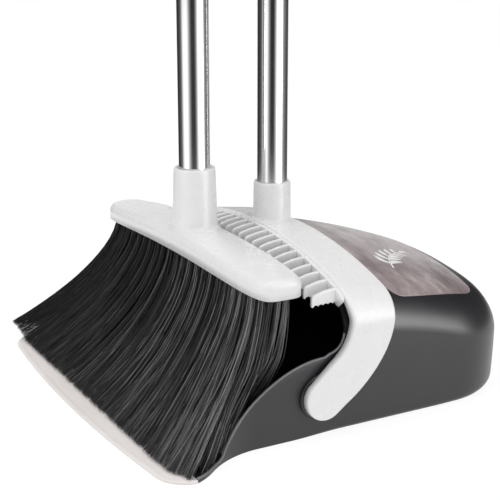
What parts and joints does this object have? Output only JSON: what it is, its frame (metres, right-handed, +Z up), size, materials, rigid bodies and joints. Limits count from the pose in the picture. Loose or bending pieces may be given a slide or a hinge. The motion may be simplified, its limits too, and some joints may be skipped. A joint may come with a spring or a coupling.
{
  "type": "dustpan and brush set",
  "caption": "Long-handled dustpan with a hinged bail, comb and pole; the broom stands in the pan and is clipped to the pan's pole.",
  "frame": {"origin": "middle of the footprint, on the floor", "axes": "+Z up along the poles, the pan's mouth faces -Y, +X across the pan to its left seen from the mouth"},
  "size_m": [0.3, 0.3, 1.2875],
  "materials": {
    "pan_black": "satin charcoal moulded plastic",
    "lip_tpr": "pale flexible lip, matt",
    "label_print": null,
    "white_plastic": "near-white, smooth and lightly glossy",
    "grey_plastic": "inner plugs and studs",
    "block_black": "tuft block",
    "bristle_black": "fine synthetic filaments",
    "tube_steel": "polished stainless tube",
    "grip_rubber": "soft ribbed grip",
    "zinc": "zinc-plated screw and washer"
  },
  "bodies": {
    "pan": {"pan_body": "pan_black", "front_lip": "lip_tpr", "hood_label": "label_print"},
    "handle": {"yoke": "white_plastic", "comb": "white_plastic", "pivot_washers": "zinc", "pivot_screws": "zinc", "pan_foot_plug": "grey_plastic", "pan_tube_lower": "tube_steel", "pan_tube_middle": "tube_steel", "pan_tube_upper": "tube_steel", "pan_joint_plugs": "grey_plastic", "pan_joint_studs": "grey_plastic", "pan_grip": "grip_rubber", "pan_hang_cap": "white_plastic"},
    "clip": {"pole_clip": "white_plastic"},
    "broom": {"broom_head": "white_plastic", "bristle_block": "block_black", "bristle_tufts": "bristle_black", "block_screws": "zinc", "broom_foot_plug": "grey_plastic", "broom_tube_lower": "tube_steel", "broom_tube_second": "tube_steel", "broom_tube_third": "tube_steel", "broom_tube_upper": "tube_steel", "broom_joint_plugs": "grey_plastic", "broom_joint_studs": "grey_plastic", "broom_grip": "grip_rubber", "broom_hang_cap": "white_plastic"}
  },
  "joints": [
    {"name": "handle_swing", "type": "hinge", "parent": "pan", "child": "handle", "pos_m": [0, -0.0235, 0.0272], "axis": [1, 0, 0], "range_deg": [0, 65]},
    {"name": "broom_lift", "type": "slide", "parent": "handle", "child": "broom", "axis": [0, 0, 1], "range_m": [0, 0.24]},
    {"name": "clip_slide", "type": "slide", "parent": "handle", "child": "clip", "axis": [0, 0, 1], "range_m": [-0.05, 0.05]}
  ],
  "couplings": [
    {"joint": "broom_lift", "follows": "handle_swing", "m_per_rad": 0.2}
  ]
}
